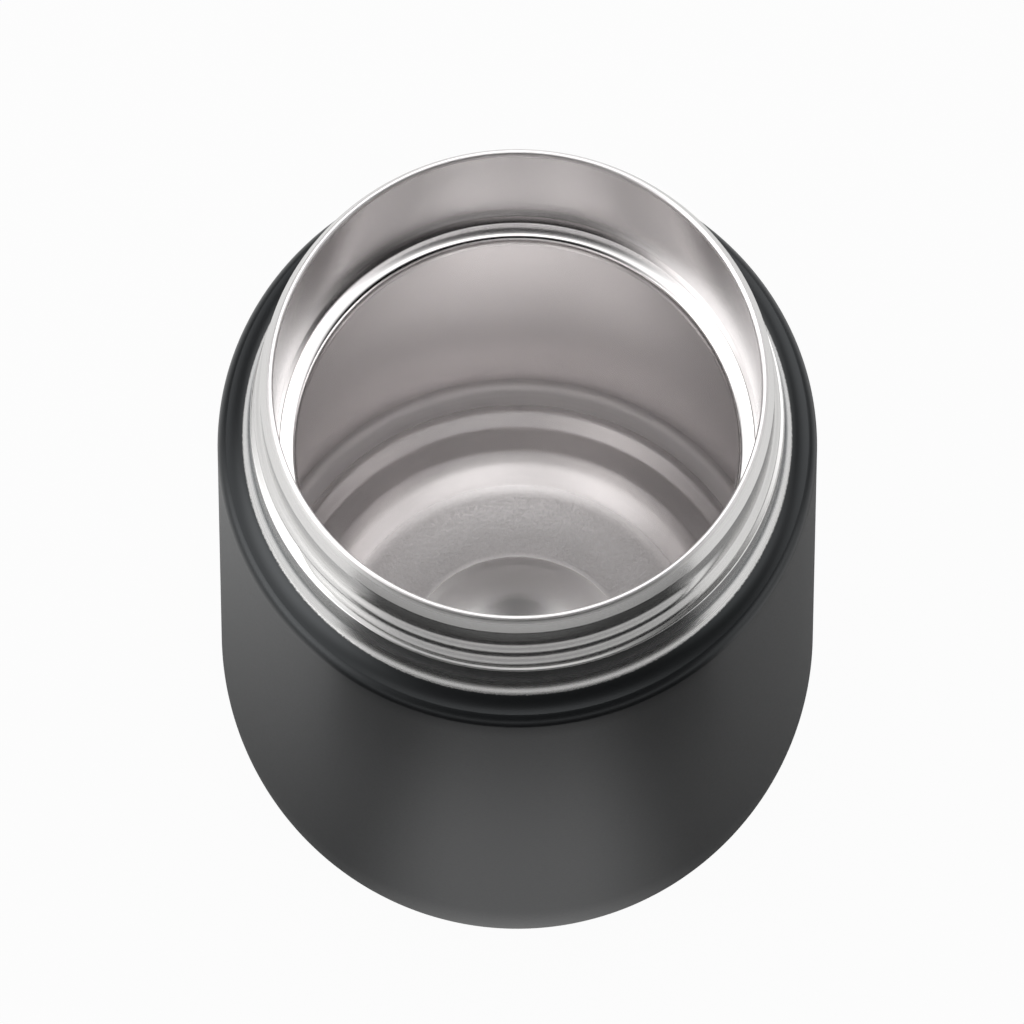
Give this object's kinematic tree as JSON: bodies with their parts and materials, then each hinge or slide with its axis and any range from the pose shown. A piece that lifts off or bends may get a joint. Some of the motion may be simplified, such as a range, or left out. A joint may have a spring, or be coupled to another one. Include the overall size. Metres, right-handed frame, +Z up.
{
  "type": "travel mug",
  "caption": "Open vacuum-insulated steel travel mug without its lid: coated body, bare steel screw neck, sealing ledge inside the mouth and a stepped vessel floor.",
  "frame": {"origin": "centre of the circle that the mug stands on, at the underside of the foot ring", "axes": "+Z up along the mug's axis, towards the mouth; +X and +Y across it, the round form having no front"},
  "size_m": [0.08, 0.08, 0.123],
  "materials": {
    "body_coat": "matte fine-grained powder coat in dark grey",
    "vessel_steel": "satin stainless steel, polished at the lip and ledge, blasted in the floor's ring",
    "foil": "bright thin foil",
    "holder_steel": "plain pressed steel",
    "getter": "dull sintered metal",
    "seal_glass": "dark fused sealing glass",
    "cover_steel": "fine brushed stainless steel",
    "foot_silicone": "matte black silicone"
  },
  "bodies": {
    "root": {"outer_shell": "body_coat", "outer_base": "body_coat", "inner_liner": "vessel_steel", "liner_base": "vessel_steel", "foil_wrap": "foil", "foil_cup": "foil", "getter_holder": "holder_steel", "getter_pellet": "getter", "vacuum_plug": "seal_glass", "base_cover": "cover_steel", "foot_ring": "foot_silicone"}
  },
  "joints": []
}
